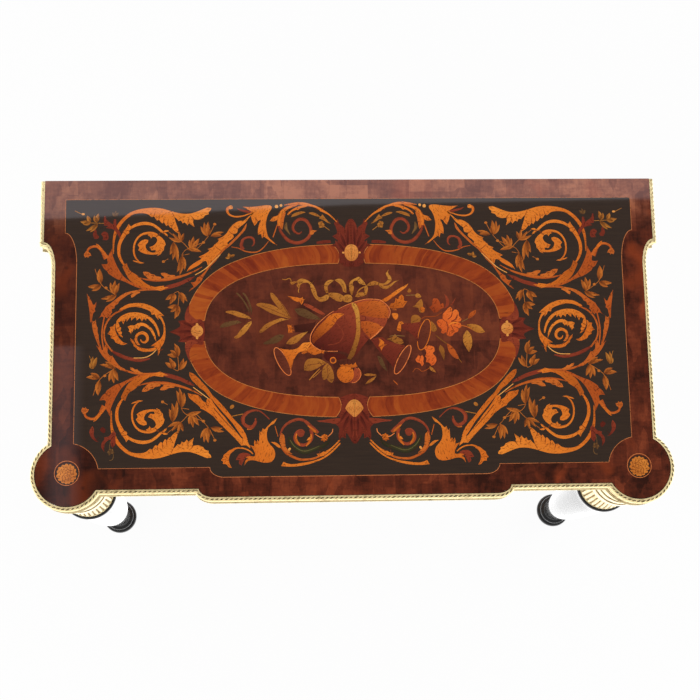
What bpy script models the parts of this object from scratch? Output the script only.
"""Fold-over games table, in metres, +Z up, front towards -Y, origin under the middle of the whole table."""
import math

import bmesh
import bpy
from mathutils import Matrix, Vector

# Gaps
GAP = 0.0003                     # between pieces that touch
RUNNING_GAP = 0.00006            # radial clearance of a pin or spindle in its hole
LEAF_GAP = 0.0005                # between the two shut leaves, and under the lower one

MERGE = 0.00001                  # points closer than this are one
HALF_LAP = 0.01                  # how far a half runs past the middle before it is mirrored

# The two leaves
TOP_Z = 0.765                    # playing height of a card table
LEAF_T = 0.0185
UPPER_Z0 = TOP_Z - LEAF_T
LOWER_Z1 = UPPER_Z0 - LEAF_GAP
LOWER_Z0 = LOWER_Z1 - LEAF_T
FRAME_Z1 = LOWER_Z0 - LEAF_GAP
HINGE_Z = (UPPER_Z0 + LOWER_Z1) / 2

# Plan of a leaf, from its half width and half depth
HALF_WIDTH = 0.439               # across the wider part at the back
HALF_DEPTH = 0.236
BACK_Y = HALF_DEPTH              # straight hinge edge
OUTSET_X = HALF_WIDTH
OUTSET_LENGTH = 0.091
OUTSET_Y = BACK_Y - OUTSET_LENGTH
SIDE_STEP = 0.017
SIDE_CURVE = 0.038
SIDE_X = HALF_WIDTH - SIDE_STEP
SIDE_Y = OUTSET_Y - SIDE_CURVE
TURRET_R = 0.045                 # round front corners
TURRET_IN = 0.022                # the turret's centre inside the side and front edges
TURRET_FRONT = 0.048
TURRET_X = SIDE_X - TURRET_IN
TURRET_Y = TURRET_FRONT - HALF_DEPTH
FRONT_Y = TURRET_Y - TURRET_IN
BREAK_X = 0.198                  # breakfront
BREAK_STEP = 0.012
BREAK_Y = FRONT_Y - BREAK_STEP
BREAK_CURVE = 0.020
CURVE_STEPS = 5
TURRET_STEPS = 16

# Veneers on the upper leaf: widths of the border at the back, outset, side, front and breakfront
VENEER_T = 0.0012
BORDER_BACK = 0.0285
BORDER_OUTSET = 0.030
BORDER_SIDE = 0.030
BORDER_FRONT = 0.029
BORDER_BREAK = 0.027
FIELD_BACK_Y = BACK_Y - BORDER_BACK
FIELD_OUTSET_X = OUTSET_X - BORDER_OUTSET
FIELD_SIDE_X = SIDE_X - BORDER_SIDE
FIELD_OUTSET_Y = 0.158
FIELD_SIDE_Y = 0.112
FIELD_FRONT_Y = FRONT_Y + BORDER_FRONT
FIELD_BREAK_Y = BREAK_Y + BORDER_BREAK
FIELD_BREAK_X = 0.183
FIELD_BREAK_CURVE = 0.020
FIELD_CORNER_R = 0.043
OVAL_Y = (FIELD_BACK_Y + FIELD_FRONT_Y) / 2
OVAL_HALF_STEPS = 26
BAND_OUTER = (0.245, 0.1256, 2.38)     # half width, half depth, squareness
BAND_INNER = (0.211, 0.0975, 2.58)
ROUNDEL_SHIFT = 0.001
ROUNDEL_X = TURRET_X
ROUNDEL_Y = TURRET_Y + ROUNDEL_SHIFT
ROUNDEL_R = 0.0152
ROUNDEL_STEPS = 28

# Playing cloth
BAIZE_T = 0.0009
BAIZE_POCKET = 0.0012
BAIZE_EDGE = 0.005
BAIZE_BACK_Y = BACK_Y - BAIZE_EDGE

# Gilt edge moulding: stand-off and height as shares
MOULDING_OUT = 0.0067
MOULDING_SHARES = ((0, 1), (0.42, 1), (0.55, 0.95), (0.92, 0.87), (1, 0.76), (0.55, 0.56), (0.50, 0.14), (0.75, 0.08),
                  (0.75, 0), (0, 0))

# Frame
FRIEZE_H = 0.1065
FRAME_Z0 = FRAME_Z1 - FRIEZE_H
DRUM_R = 0.040
DRUM_STEPS = 24
BACK_OVERHANG = 0.044
BACK_DRUM_Y = BACK_Y - BACK_OVERHANG
RAIL_HALF_T = 0.010
TONGUE_HALF_T = 0.004
TONGUE_R = 0.0285                # distance of the tongue's end from the drum's axis
RAIL_BREAK = 0.012
DOWEL_R = 0.012
DOWEL_H = 0.0345
DOWEL_Z = FRAME_Z0 + DOWEL_H
FLOOR_LIFT = 0.0135
FLOOR_Z = FRAME_Z0 + FLOOR_LIFT
FLOOR_T = 0.006
GROOVE_DEPTH = 0.005
LINING_T = 0.0008
LINING_EDGE = 0.0015
PARTITION_X = 0.002
PARTITION_T = 0.008

# Swivel: the hinge line comes to the middle of the frame after a quarter turn
FRAME_MID_Y = (TURRET_Y + BACK_DRUM_Y) / 2
PIVOT_X = (BACK_Y - FRAME_MID_Y) / 2
PIVOT_Y = (BACK_Y + FRAME_MID_Y) / 2
PIVOT = (PIVOT_X, PIVOT_Y)
PIVOT_RAIL_HALF_W = 0.032
PIVOT_RAIL_T = 0.022
PIVOT_HOUSING = 0.008
PLATE_HALF_X = 0.024
PLATE_HALF_Y = 0.040
PLATE_T = 0.003
SPINDLE_R = 0.007
SPINDLE_STEPS = 32
FLANGE_R = 0.030
FLANGE_T = 0.0035
SPINDLE_H = 0.0375
SPINDLE_Z = LOWER_Z0 - SPINDLE_H
WASHER_R = 0.015
WASHER_T = 0.0018
NUT_SIDES = 6
NUT_R = 0.0125
NUT_T = 0.007

# Leaf hinges, let into the ends of the leaves at the back corners
EYE_R = 0.0026
EYE_STEPS = 16
PIN_R = 0.0012
HINGE_T = 0.0045                 # thickness of a plate, shared by its eye and the other plate's
HINGE_END = 0.0003               # plate below the end of the leaf
HINGE_LENGTH = 0.052
HINGE_H = 0.0115
HINGE_EDGE = 0.0018              # plate's edge from the hinge axis
PIN_LENGTH = 0.0041

# Leg, as radius and height
LEG_STEPS = 16
NECK_R = 0.026
NECK_Z = FRAME_Z0 - GAP
NECK_RING_H = 0.012
COLLAR_H = 0.0788
COLLAR_Z1 = FRAME_Z0 - NECK_RING_H
COLLAR_Z0 = COLLAR_Z1 - COLLAR_H
SHAFT_H = COLLAR_Z0 - GAP
LEG_R = 0.0426
LEG_SHARES = ((0.911, 1), (0.981, 0.9948), (1, 0.9898), (0.981, 0.9849), (0.908, 0.9812), (0.883, 0.8500),
              (0.840, 0.7177), (0.775, 0.5667), (0.695, 0.4533), (0.592, 0.3400), (0.481, 0.2380), (0.437, 0.1951),
              (0.545, 0.1893), (0.545, 0.1806), (0.469, 0.1747), (0.469, 0.1672), (0.669, 0.1618), (0.704, 0.1549),
              (0.669, 0.1480), (0.411, 0.1416), (0.387, 0.1301), (0.458, 0.1058), (0.434, 0.0756), (0.282, 0))

# Gilt collar: outer radius, height share and depth of the gadroons as shares
COLLAR_R = 0.0405
COLLAR_LOBES = 22
LOBE_STEPS = 2
LOBE_DEPTH = 0.075
COLLAR_SHARES = ((0.900, 1, 0), (0.900, 0.950, 0), (0.800, 0.83, 0), (0.795, 0.62, 0.15), (0.955, 0.22, 1),
                (1, 0.08, 1), (0.890, 0, 0))

# Gilt ring between the collar and the drum
RING_R = 0.0405
RING_SHARES = ((0.92, 1), (1, 0.70), (1, 0.30), (0.92, 0))

COLOURS = {
    "burr": ((0.16, 0.055, 0.03, 1), 0.15, 0),
    "black_wood": ((0.02, 0.017, 0.016, 1), 0.12, 0),
    "band_wood": ((0.33, 0.11, 0.035, 1), 0.15, 0),
    "medallion_wood": ((0.14, 0.05, 0.02, 1), 0.15, 0),
    "light_wood": ((0.55, 0.22, 0.06, 1), 0.2, 0),
    "oak": ((0.36, 0.22, 0.11, 1), 0.6, 0),
    "gilt": ((0.83, 0.66, 0.32, 1), 0.25, 1),
    "brass": ((0.78, 0.57, 0.25, 1), 0.3, 1),
    "steel": ((0.55, 0.55, 0.56, 1), 0.35, 1),
    "baize": ((0.03, 0.16, 0.07, 1), 0.95, 0),
    "lining": ((0.22, 0.03, 0.04, 1), 0.9, 0),
}


def clear_scene():
    for obj in list(bpy.data.objects):
        bpy.data.objects.remove(obj, do_unlink=True)


def new_collection(name):
    group = bpy.data.collections.new(name)
    bpy.context.scene.collection.children.link(group)
    return group


def new_material(name):
    colour, rough, metal = COLOURS[name]
    mat = bpy.data.materials.new(name)
    mat.use_nodes = True
    shader = mat.node_tree.nodes["Principled BSDF"]
    shader.inputs["Base Color"].default_value = colour
    shader.inputs["Roughness"].default_value = rough
    shader.inputs["Metallic"].default_value = metal
    return mat


def place(obj, material=None):
    """Puts an object among the parts, or among the cutters when it has no material."""
    for group in list(obj.users_collection):
        group.objects.unlink(obj)
    if material:
        obj.data.materials.clear()
        obj.data.materials.append(MATERIALS[material])
        PARTS.objects.link(obj)
    else:
        obj.hide_render = True
        obj.display_type = "WIRE"
        CUTTERS.objects.link(obj)
    return obj


def settled(guide, name, smooth):
    """Mesh object of a guide as it evaluates, welded, with the guide removed."""
    bpy.context.view_layer.update()
    mesh = bpy.data.meshes.new_from_object(guide.evaluated_get(bpy.context.evaluated_depsgraph_get()))
    mesh.name = name
    work = bmesh.new()
    work.from_mesh(mesh)
    bmesh.ops.remove_doubles(work, verts=work.verts, dist=MERGE)
    bmesh.ops.recalc_face_normals(work, faces=work.faces)
    work.to_mesh(mesh)
    work.free()
    if smooth:
        mesh.shade_smooth()
        mesh.set_sharp_from_angle(angle=math.radians(35))
    matrix = guide.matrix_world.copy()
    bpy.data.objects.remove(guide, do_unlink=True)
    obj = bpy.data.objects.new(name, mesh)
    obj.matrix_world = matrix
    return obj


def flat(name, loops, z0, z1, material=None, smooth=False, centre=(0, 0), mirror=False):
    """Upright block between two heights; the first loop is its outline, the others are holes."""
    curve = bpy.data.curves.new(name, "CURVE")
    curve.dimensions = "2D"
    curve.fill_mode = "BOTH"
    curve.extrude = (z1 - z0) / 2
    for loop in loops:
        spline = curve.splines.new("POLY")
        spline.points.add(len(loop) - 1)
        spline.use_cyclic_u = True
        for point, (x, y) in zip(spline.points, loop):
            point.co = (x, y, 0, 1)
    guide = bpy.data.objects.new(f"{name}_guide", curve)
    guide.location = (*centre, (z0 + z1) / 2)
    if mirror:
        twin = guide.modifiers.new("mirror", "MIRROR")
        twin.use_bisect_axis[0] = True
        twin.merge_threshold = MERGE
    bpy.context.scene.collection.objects.link(guide)
    return place(settled(guide, name, smooth), material)


def box(name, x0, x1, y0, y1, z0, z1, material=None):
    bpy.ops.mesh.primitive_cube_add(size=1, location=((x0 + x1) / 2, (y0 + y1) / 2, (z0 + z1) / 2))
    obj = bpy.context.object
    obj.name = obj.data.name = name
    obj.data.transform(Matrix.Diagonal((abs(x1 - x0), abs(y1 - y0), abs(z1 - z0), 1)))
    return place(obj, material)


def rod(name, radius, low, high, steps, material=None, centre=(0, 0), axis="Z"):
    """Cylinder between two heights, or between two places along X."""
    middle = (low + high) / 2
    upright = axis == "Z"
    bpy.ops.mesh.primitive_cylinder_add(vertices=steps, radius=radius, depth=abs(high - low),
                                        location=(*centre, middle) if upright else (middle, *centre),
                                        rotation=(0, 0 if upright else math.pi / 2, 0))
    obj = bpy.context.object
    obj.name = obj.data.name = name
    obj.data.shade_smooth()
    obj.data.set_sharp_from_angle(angle=math.radians(35))
    return place(obj, material)


def turned(name, profile, steps, material, centre=(0, 0), ring=False):
    """Turns (radius, height) points that run down the outer side; a ring's profile is closed."""
    points = list(profile) if ring else [(0, profile[0][1])] + list(profile) + [(0, profile[-1][1])]
    edges = [(i, i + 1) for i in range(len(points) - 1)] + ([(len(points) - 1, 0)] if ring else [])
    mesh = bpy.data.meshes.new(name)
    mesh.from_pydata([(r, 0, z) for r, z in points], edges, [])
    guide = bpy.data.objects.new(f"{name}_guide", mesh)
    bpy.context.scene.collection.objects.link(guide)
    screw = guide.modifiers.new("turning", "SCREW")
    screw.steps = screw.render_steps = steps
    screw.use_merge_vertices = True
    screw.merge_threshold = MERGE
    guide.location = (*centre, 0)
    return place(settled(guide, name, True), material)


def lofted(name, sections, material, centre=(0, 0), capped=True):
    """Skin over closed sections of equal count; without caps the last section joins the first."""
    mesh = bpy.data.meshes.new(name)
    work = bmesh.new()
    rings = [[work.verts.new(p) for p in section] for section in sections]
    for a, b in zip(rings, rings[1:] if capped else rings[1:] + rings[:1]):
        for k in range(len(a)):
            work.faces.new((a[k - 1], a[k], b[k], b[k - 1]))
    if capped:
        work.faces.new(rings[0])
        work.faces.new(rings[-1])
    bmesh.ops.recalc_face_normals(work, faces=work.faces)
    work.to_mesh(mesh)
    work.free()
    mesh.shade_smooth()
    mesh.set_sharp_from_angle(angle=math.radians(35))
    obj = bpy.data.objects.new(name, mesh)
    obj.location = (*centre, 0)
    return place(obj, material)


def copied(obj, name, x, y):
    """Another of a piece, sharing its mesh."""
    twin = obj.copy()
    twin.name = name
    twin.location = (x, y, obj.location.z)
    PARTS.objects.link(twin)
    return twin


def boolean(obj, other, operation="DIFFERENCE"):
    step = obj.modifiers.new(operation.lower(), "BOOLEAN")
    step.operation = operation
    step.solver = "EXACT"
    step.object = other


def arc(cx, cy, rx, ry, start, end, count):
    """Points of an elliptical arc, angles in degrees."""
    out = []
    for i in range(count + 1):
        angle = math.radians(start + (end - start) * i / count)
        out.append((cx + rx * math.cos(angle), cy + ry * math.sin(angle)))
    return out


def circle(cx, cy, r, count):
    return arc(cx, cy, r, r, 0, 360, count)[:-1]


def oval_half(half_x, half_y, squareness, grow=0):
    """Right half, from the back to the front, of a slightly squared oval about the middle of the marquetry."""
    out = []
    for i in range(OVAL_HALF_STEPS + 1):
        angle = math.pi * i / OVAL_HALF_STEPS
        x = (half_x + grow) * abs(math.sin(angle)) ** (2 / squareness)
        y = (half_y + grow) * math.copysign(abs(math.cos(angle)) ** (2 / squareness), math.cos(angle))
        out.append((x, OVAL_Y + y))
    return out


def mirrored(points):
    return [(-x, y) for x, y in reversed(points)]


def crossing(radius, away):
    """How far along a line a circle meets it, when the line passes `away` from the centre."""
    return math.sqrt(radius * radius - away * away)


def edge_runs():
    """The moulded edge as five runs: right side, right turret, front, left turret, left side."""
    side_end = crossing(TURRET_R, TURRET_X - SIDE_X)
    front_end = crossing(TURRET_R, FRONT_Y - TURRET_Y)
    first = math.degrees(math.atan2(side_end, SIDE_X - TURRET_X))
    last = math.degrees(math.atan2(FRONT_Y - TURRET_Y, -front_end))
    side = [(OUTSET_X, BACK_Y)]
    side += arc(OUTSET_X, SIDE_Y, OUTSET_X - SIDE_X, OUTSET_Y - SIDE_Y, 90, 180, CURVE_STEPS)
    side.append((SIDE_X, TURRET_Y + side_end))
    turret = arc(TURRET_X, TURRET_Y, TURRET_R, TURRET_R, first, last, TURRET_STEPS)
    half = [(TURRET_X - front_end, FRONT_Y)]
    half += arc(BREAK_X, FRONT_Y, BREAK_CURVE, FRONT_Y - BREAK_Y, 0, -90, CURVE_STEPS)
    return [side, turret, half + mirrored(half), mirrored(turret), mirrored(side)]


def joined(runs):
    path = [runs[0][0]]
    for run in runs:
        path += run[1:]
    return path


def leaf_half():
    side, turret, front = edge_runs()[:3]
    return joined([side, turret, front[:len(front) // 2]])


def mitres(path):
    """Outward corner vectors along an open path that runs clockwise seen from above."""
    normals = []
    for (ax, ay), (bx, by) in zip(path, path[1:]):
        length = math.hypot(bx - ax, by - ay)
        normals.append(Vector((-(by - ay) / length, (bx - ax) / length)))
    out = [normals[0]]
    for a, b in zip(normals, normals[1:]):
        out.append((a + b) / (1 + a.dot(b)))
    return out + [normals[-1]]


def grown(loop, distance):
    """A clockwise closed loop moved outwards."""
    ring = mitres([loop[-1]] + loop + [loop[0]])[1:-1]
    return [(x + m.x * distance, y + m.y * distance) for (x, y), m in zip(loop, ring)]


def halved(half):
    """Right half of an outline, carried a little past the middle for the mirror to trim."""
    return [(-HALF_LAP, half[0][1])] + half + [(-HALF_LAP, half[-1][1])]


def ring_half(outer, inner):
    """Right half of a band between two outlines."""
    return outer + inner[::-1]


def field_half(back_y=FIELD_BACK_Y, outset_x=FIELD_OUTSET_X):
    """Inner edge of the wide border, with hollow corners round the turrets."""
    side_end = crossing(FIELD_CORNER_R, TURRET_X - FIELD_SIDE_X)
    front_end = crossing(FIELD_CORNER_R, FIELD_FRONT_Y - TURRET_Y)
    first = math.degrees(math.atan2(side_end, FIELD_SIDE_X - TURRET_X))
    last = math.degrees(math.atan2(FIELD_FRONT_Y - TURRET_Y, -front_end))
    half = [(outset_x, back_y)]
    half += arc(outset_x, FIELD_SIDE_Y, outset_x - FIELD_SIDE_X, FIELD_OUTSET_Y - FIELD_SIDE_Y, 90, 180, CURVE_STEPS)
    half += arc(TURRET_X, TURRET_Y, FIELD_CORNER_R, FIELD_CORNER_R, first, last, CURVE_STEPS)
    half += arc(FIELD_BREAK_X, FIELD_FRONT_Y, FIELD_BREAK_CURVE, FIELD_FRONT_Y - FIELD_BREAK_Y, 0, -90, CURVE_STEPS)
    return half


def moulding(name, run, corners, z0, z1, flipped):
    """Sweeps the gilt profile along one run, ending on the mitres of its corners."""
    profile = [(GAP + o * MOULDING_OUT, z1 - (1 - h) * (z1 - z0)) for o, h in MOULDING_SHARES]
    if flipped:
        profile = [(o, z0 + z1 - z) for o, z in profile]
    points = [Vector(p) for p in run]
    for end, inner in ((0, 1), (-1, -2)):
        points[end] = points[end] + (points[inner] - points[end]).normalized() * GAP / 2
    sections = [[(p.x + m.x * out, p.y + m.y * out, z) for out, z in profile] for p, m in zip(points, corners)]
    return lofted(name, sections, "gilt")


def mouldings(prefix, z0, z1, flipped):
    runs = edge_runs()
    corners = mitres(joined(runs))
    made, start = [], 0
    for name, run in zip(("side_r", "turret_r", "front", "turret_l", "side_l"), runs):
        end = start + len(run)
        made.append(moulding(f"{prefix}_moulding_{name}", run, corners[start:end], z0, z1, flipped))
        start = end - 1
    return made


def hinge_solids(side, suffix):
    """Both plates and the pin of one corner hinge; returns them with the leaves' pocket and eye notch."""
    x0 = OUTSET_X - HINGE_END - HINGE_T
    x1 = OUTSET_X - HINGE_END
    middle = (x0 + x1) / 2
    back = BACK_Y - GAP
    plates = {}
    for leaf, z0, z1, eye in (("lower", HINGE_Z - HINGE_EDGE - HINGE_H, HINGE_Z - HINGE_EDGE, (middle + GAP / 2, x1)),
                              ("upper", HINGE_Z + HINGE_EDGE, HINGE_Z + HINGE_EDGE + HINGE_H, (x0, middle - GAP / 2))):
        far = (x0 - HINGE_T, middle + GAP / 2) if leaf == "lower" else (middle - GAP / 2, x1 + HINGE_T)
        plate = box(f"hinge_{leaf}_{suffix}", *sorted((side * x0, side * x1)), back - HINGE_LENGTH, back, z0, z1, "brass")
        spans = ((f"cut_{leaf}_other_{suffix}", EYE_R + GAP, far), (f"add_{leaf}_eye_{suffix}", EYE_R, eye),
                 (f"cut_{leaf}_hole_{suffix}", PIN_R + RUNNING_GAP, (x0 - GAP, x1 + GAP)))
        for name, radius, span in spans:
            cutter = rod(name, radius, *sorted((side * span[0], side * span[1])), EYE_STEPS, centre=(BACK_Y, HINGE_Z),
                         axis="X")
            boolean(plate, cutter, "UNION" if name.startswith("add") else "DIFFERENCE")
        plates[leaf] = plate
    pin_x = (x0 + x1 - PIN_LENGTH) / 2
    pin = rod(f"hinge_pin_{suffix}", PIN_R, *sorted((side * pin_x, side * (pin_x + PIN_LENGTH))), EYE_STEPS, "steel",
              (BACK_Y, HINGE_Z), "X")
    return plates["lower"], plates["upper"], pin


def hinge_pockets(leaf, side, suffix):
    x0 = OUTSET_X - HINGE_END - HINGE_T - GAP
    x1 = OUTSET_X + HINGE_T
    reach = HINGE_EDGE + HINGE_H + GAP
    inner = HINGE_EDGE - GAP
    z0, z1 = (HINGE_Z - reach, HINGE_Z - inner) if leaf == "lower" else (HINGE_Z + inner, HINGE_Z + reach)
    back = BACK_Y + HINGE_T
    pocket = box(f"cut_{leaf}_pocket_{suffix}", *sorted((side * x0, side * x1)), BACK_Y - HINGE_LENGTH - 2 * GAP, back,
                 z0, z1)
    notch = rod(f"cut_{leaf}_notch_{suffix}", EYE_R + GAP, *sorted((side * x0, side * x1)), EYE_STEPS,
                centre=(BACK_Y, HINGE_Z), axis="X")
    return pocket, notch


def collar_sections():
    """Rings of points down the outside of a collar and back up its bore."""
    steps = COLLAR_LOBES * LOBE_STEPS
    rows = [(r * COLLAR_R, COLLAR_Z0 + h * (COLLAR_Z1 - COLLAR_Z0), d * LOBE_DEPTH) for r, h, d in COLLAR_SHARES]
    rows += [(NECK_R + GAP, COLLAR_Z0, 0), (NECK_R + GAP, COLLAR_Z1, 0)]
    sections = []
    for radius, height, depth in rows:
        section = []
        for k in range(steps):
            angle = 2 * math.pi * k / steps
            r = radius if k % LOBE_STEPS else radius * (1 - depth)
            section.append((r * math.cos(angle), r * math.sin(angle), height))
        sections.append(section)
    return sections


def build_legs():
    """Four turned legs, each with its gilt collar and ring."""
    profile = [(DOWEL_R, DOWEL_Z - GAP), (DOWEL_R, NECK_Z), (NECK_R, NECK_Z), (NECK_R, COLLAR_Z0 - GAP)]
    profile += [(r * LEG_R, h * SHAFT_H) for r, h in LEG_SHARES]
    bore = NECK_R + GAP
    low = COLLAR_Z1 + GAP
    ring = [(r * RING_R, low + h * (NECK_Z - low)) for r, h in RING_SHARES] + [(bore, low), (bore, NECK_Z)]
    suffix, x, y = CORNERS[0]
    first = [("leg", turned(f"leg_{suffix}", profile, LEG_STEPS, "black_wood", (x, y))),
             ("collar", lofted(f"collar_{suffix}", collar_sections(), "gilt", (x, y), capped=False)),
             ("neck_ring", turned(f"neck_ring_{suffix}", ring, DRUM_STEPS, "gilt", (x, y), ring=True))]
    for suffix, x, y in CORNERS[1:]:
        for kind, obj in first:
            copied(obj, f"{kind}_{suffix}", x, y)


def rail_end(dx, direction):
    """End of a rail on a drum: hollow shoulders with a tongue; local x runs along the rail, y across it."""
    r = DRUM_R + GAP
    points = []
    for y in (-RAIL_HALF_T, -(RAIL_HALF_T + TONGUE_HALF_T) / 2, -TONGUE_HALF_T):
        points.append((dx - direction * crossing(r, y), y))
    points.append((dx - direction * TONGUE_R, -TONGUE_HALF_T))
    return points + [(x, -y) for x, y in reversed(points)]


def build_frame():
    """Drums, rails, floor, partition and the rail that carries the swivel."""
    for suffix, x, y in CORNERS:
        inward_x, inward_y = -math.copysign(1, x), -math.copysign(1, y)
        drum = rod(f"drum_{suffix}", DRUM_R, FRAME_Z0, FRAME_Z1, DRUM_STEPS, "burr", (x, y))
        half, depth = TONGUE_HALF_T + GAP, TONGUE_R - GAP
        spans = ((depth * inward_x, 2 * DRUM_R * inward_x, -half, half), (-half, half, depth * inward_y, 2 * DRUM_R * inward_y))
        for i, (x0, x1, y0, y1) in enumerate(spans):
            x0, x1, y0, y1 = *sorted((x0, x1)), *sorted((y0, y1))
            boolean(drum, box(f"cut_slot_{i}_{suffix}", x + x0, x + x1, y + y0, y + y1, FRAME_Z0 - FLOOR_T,
                              FRAME_Z1 + FLOOR_T))
        boolean(drum, rod(f"cut_dowel_{suffix}", DOWEL_R + GAP, FRAME_Z0 - FLOOR_T, DOWEL_Z, DRUM_STEPS, centre=(x, y)))

    plain = rail_end(TURRET_X, 1)[::-1]
    face = [(x, -y) for x, y in arc(BREAK_X, RAIL_HALF_T, BREAK_CURVE, RAIL_BREAK, 0, 90, CURVE_STEPS)]
    span = (BACK_DRUM_Y - TURRET_Y) / 2
    side_loop = rail_end(-span, -1)[::-1] + rail_end(span, 1)
    mid = (BACK_DRUM_Y + TURRET_Y) / 2
    rails = {
        "front_rail": (halved(plain + face), (0, TURRET_Y), True),
        "back_rail": (halved(plain), (0, BACK_DRUM_Y), True),
        "left_rail": ([(y, x) for x, y in side_loop], (-TURRET_X, mid), False),
        "right_rail": ([(y, x) for x, y in side_loop], (TURRET_X, mid), False),
    }
    well_x = TURRET_X - RAIL_HALF_T
    y0, y1 = TURRET_Y + RAIL_HALF_T, BACK_DRUM_Y - RAIL_HALF_T

    def floor_loop(out, clear):
        """Floor between the rails, let into them, hollow round the drums."""
        loop = []
        for cx, cy in ((TURRET_X, TURRET_Y), (TURRET_X, BACK_DRUM_Y), (-TURRET_X, BACK_DRUM_Y), (-TURRET_X, TURRET_Y)):
            r = DRUM_R + clear
            ex, ey = well_x + out, (y0 - out if cy < 0 else y1 + out)
            a = crossing(r, abs(cx) - ex)
            b = crossing(r, cy - ey)
            start = math.degrees(math.atan2(ey - cy, math.copysign(b, -cx)))
            end = math.degrees(math.atan2(math.copysign(a, -cy), math.copysign(ex, cx) - cx))
            if cx * cy > 0:
                start, end = end, start
            while end > start:
                end -= 360
            loop += arc(cx, cy, r, r, start, end, CURVE_STEPS)
        return loop

    groove = flat("cut_groove", [floor_loop(GROOVE_DEPTH, GAP)], FLOOR_Z - GAP, FLOOR_Z + FLOOR_T + GAP)
    pivot_x0, pivot_x1 = PIVOT_X - PIVOT_RAIL_HALF_W, PIVOT_X + PIVOT_RAIL_HALF_W
    pivot_z0 = FRAME_Z1 - PIVOT_RAIL_T
    housing = box("cut_housing", pivot_x0 - GAP, pivot_x1 + GAP, y0 - PIVOT_HOUSING - GAP, y1 + PIVOT_HOUSING + GAP,
                  pivot_z0 - GAP, FRAME_Z1 + FLOOR_T)
    for name, (loop, centre, mirror) in rails.items():
        rail = flat(name, [loop], FRAME_Z0, FRAME_Z1, "burr", centre=centre, mirror=mirror)
        boolean(rail, groove)
        if name in ("front_rail", "back_rail"):
            boolean(rail, housing)
    floor_top = FLOOR_Z + FLOOR_T
    flat("well_floor", [floor_loop(GROOVE_DEPTH - GAP, 2 * GAP)], FLOOR_Z, floor_top, "oak")
    box("partition", PARTITION_X, PARTITION_X + PARTITION_T, y0 + GAP, y1 - GAP, floor_top + GAP, FRAME_Z1, "oak")
    lining = [(x, y) for x, y in floor_loop(-LINING_EDGE, LINING_EDGE) if x < 0]
    edge = PARTITION_X - LINING_EDGE
    low = [p for p in lining if p[1] < 0]
    high = [p for p in lining if p[1] > 0]
    ends = (edge, y1 - LINING_EDGE), (edge, y0 + LINING_EDGE)
    flat("well_lining", [[ends[1]] + low[::-1] + high[::-1] + [ends[0]]], floor_top + GAP, floor_top + GAP + LINING_T,
          "lining")

    pivot_rail = box("pivot_rail", pivot_x0, pivot_x1, y0 - PIVOT_HOUSING, y1 + PIVOT_HOUSING, pivot_z0, FRAME_Z1, "oak")
    boolean(pivot_rail, box("cut_plate", PIVOT_X - PLATE_HALF_X - GAP, PIVOT_X + PLATE_HALF_X + GAP,
                            PIVOT_Y - PLATE_HALF_Y - GAP, PIVOT_Y + PLATE_HALF_Y + GAP, FRAME_Z1 - PLATE_T - GAP,
                            FRAME_Z1 + FLOOR_T))
    boolean(pivot_rail, rod("cut_spindle", SPINDLE_R + GAP, pivot_z0 - FLOOR_T, FRAME_Z1 + FLOOR_T, SPINDLE_STEPS,
                            centre=PIVOT))
    plate = [(sx * PLATE_HALF_X, sy * PLATE_HALF_Y) for sx, sy in ((1, 1), (1, -1), (-1, -1), (-1, 1))]
    hole = circle(0, 0, SPINDLE_R + RUNNING_GAP, SPINDLE_STEPS)
    flat("pivot_plate", [plate, hole], FRAME_Z1 - PLATE_T, FRAME_Z1, "brass", centre=PIVOT)
    flat("pivot_washer", [circle(0, 0, WASHER_R, SPINDLE_STEPS), hole], pivot_z0 - GAP - WASHER_T, pivot_z0 - GAP,
         "steel", centre=PIVOT)


def build_lower_leaf():
    """Lower leaf with its cloth, edge moulding and the swivel's spindle."""
    made = []
    panel = flat("lower_panel", [halved(leaf_half())], LOWER_Z0, LOWER_Z1, "burr", mirror=True)
    cloth = halved(field_half(BAIZE_BACK_Y))
    boolean(panel, flat("cut_lower_cloth", [grown(cloth, GAP)], LOWER_Z1 - BAIZE_POCKET, LOWER_Z1 + FLOOR_T,
                        mirror=True))
    boolean(panel, rod("cut_flange", FLANGE_R + GAP, LOWER_Z0 - FLOOR_T, LOWER_Z0 + GAP + FLANGE_T + GAP, SPINDLE_STEPS,
                       centre=PIVOT))
    made.append(panel)
    made.append(flat("lower_baize", [cloth], LOWER_Z1 - BAIZE_T, LOWER_Z1, "baize", mirror=True))
    flange_z = LOWER_Z0 + GAP
    profile = [(FLANGE_R, flange_z + FLANGE_T), (FLANGE_R, flange_z), (SPINDLE_R, flange_z), (SPINDLE_R, SPINDLE_Z)]
    made.append(turned("pivot_spindle", profile, SPINDLE_STEPS, "steel", PIVOT))
    nut_top = FRAME_Z1 - PIVOT_RAIL_T - WASHER_T - 2 * GAP
    nut = [circle(0, 0, NUT_R, NUT_SIDES), circle(0, 0, SPINDLE_R + RUNNING_GAP, SPINDLE_STEPS)]
    made.append(flat("pivot_nut", nut, nut_top - NUT_T, nut_top, "steel", centre=PIVOT))
    made += mouldings("lower", LOWER_Z0, LOWER_Z1, True)
    return panel, made


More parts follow.
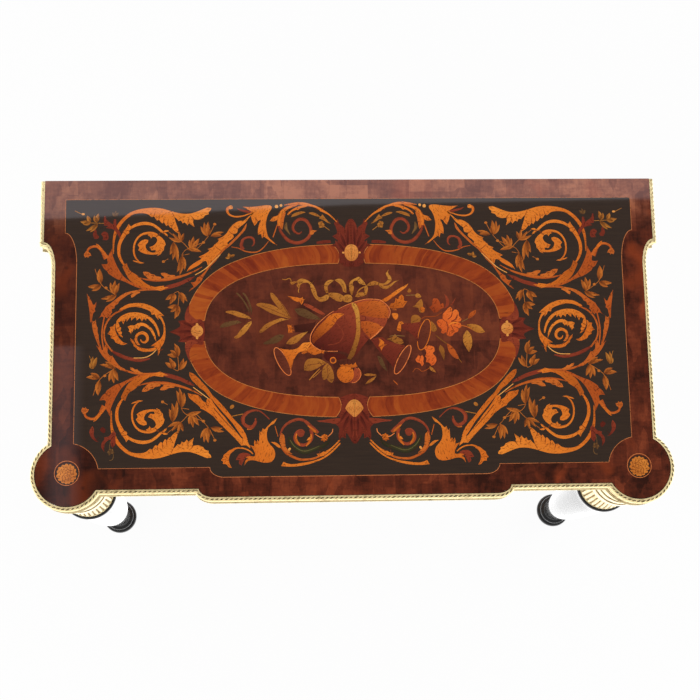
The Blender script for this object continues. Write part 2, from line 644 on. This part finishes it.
def build_upper_leaf():
    """Upper leaf with its cloth, edge moulding and the veneers of the show face."""
    made = []
    ground = TOP_Z - VENEER_T - GAP
    panel = flat("upper_panel", [halved(leaf_half())], UPPER_Z0, ground, "black_wood", mirror=True)
    cloth = halved(field_half(BAIZE_BACK_Y))
    boolean(panel, flat("cut_upper_cloth", [grown(cloth, GAP)], UPPER_Z0 - FLOOR_T, UPPER_Z0 + BAIZE_POCKET,
                        mirror=True))
    made.append(panel)
    made.append(flat("upper_baize", [cloth], UPPER_Z0, UPPER_Z0 + BAIZE_T, "baize", mirror=True))
    z0 = TOP_Z - VENEER_T
    field = halved(field_half())
    outer, inner = halved(oval_half(*BAND_OUTER)), halved(oval_half(*BAND_INNER))
    hole = circle(ROUNDEL_X, ROUNDEL_Y, ROUNDEL_R + GAP, ROUNDEL_STEPS)
    for name, loops, wood in (
            ("border", [ring_half(halved(leaf_half()), grown(field, GAP)), hole], "burr"),
            ("field", [ring_half(field, halved(oval_half(*BAND_OUTER, GAP)))], "black_wood"),
            ("band", [ring_half(outer, halved(oval_half(*BAND_INNER, GAP)))], "band_wood"),
            ("medallion", [inner], "medallion_wood")):
        made.append(flat(f"veneer_{name}", loops, z0, TOP_Z, wood, mirror=True))
    for side, suffix in ((-1, "l"), (1, "r")):
        made.append(flat(f"veneer_roundel_{suffix}", [circle(side * ROUNDEL_X, ROUNDEL_Y, ROUNDEL_R, ROUNDEL_STEPS)],
                          z0, TOP_Z, "light_wood"))
    made += mouldings("upper", UPPER_Z0, TOP_Z, False)
    return panel, made


def parent_group(name, position, objects):
    """Empty on the joint axis that carries the moving pieces."""
    empty = bpy.data.objects.new(name, None)
    empty.location = position
    PARTS.objects.link(empty)
    for obj in objects:
        obj.parent = empty
        obj.matrix_parent_inverse = Matrix.Translation(position).inverted()
    return empty


clear_scene()
PARTS = new_collection("games_table")
CUTTERS = new_collection("cutters")
CUTTERS.hide_render = True
MATERIALS = {name: new_material(name) for name in COLOURS}
CORNERS = (("fl", -TURRET_X, TURRET_Y), ("fr", TURRET_X, TURRET_Y), ("bl", -TURRET_X, BACK_DRUM_Y),
           ("br", TURRET_X, BACK_DRUM_Y))

build_legs()
build_frame()
lower_panel, lower = build_lower_leaf()
upper_panel, upper = build_upper_leaf()
for side, suffix in ((-1, "l"), (1, "r")):
    low_plate, high_plate, pin = hinge_solids(side, suffix)
    lower += [low_plate, pin]
    upper.append(high_plate)
    for leaf, panel in (("lower", lower_panel), ("upper", upper_panel)):
        for cutter in hinge_pockets(leaf, side, suffix):
            boolean(panel, cutter)
parent_group("lower_leaf_swivel", Vector((PIVOT_X, PIVOT_Y, LOWER_Z0)), lower)
parent_group("upper_leaf_fold", Vector((0, BACK_Y, HINGE_Z)), upper)
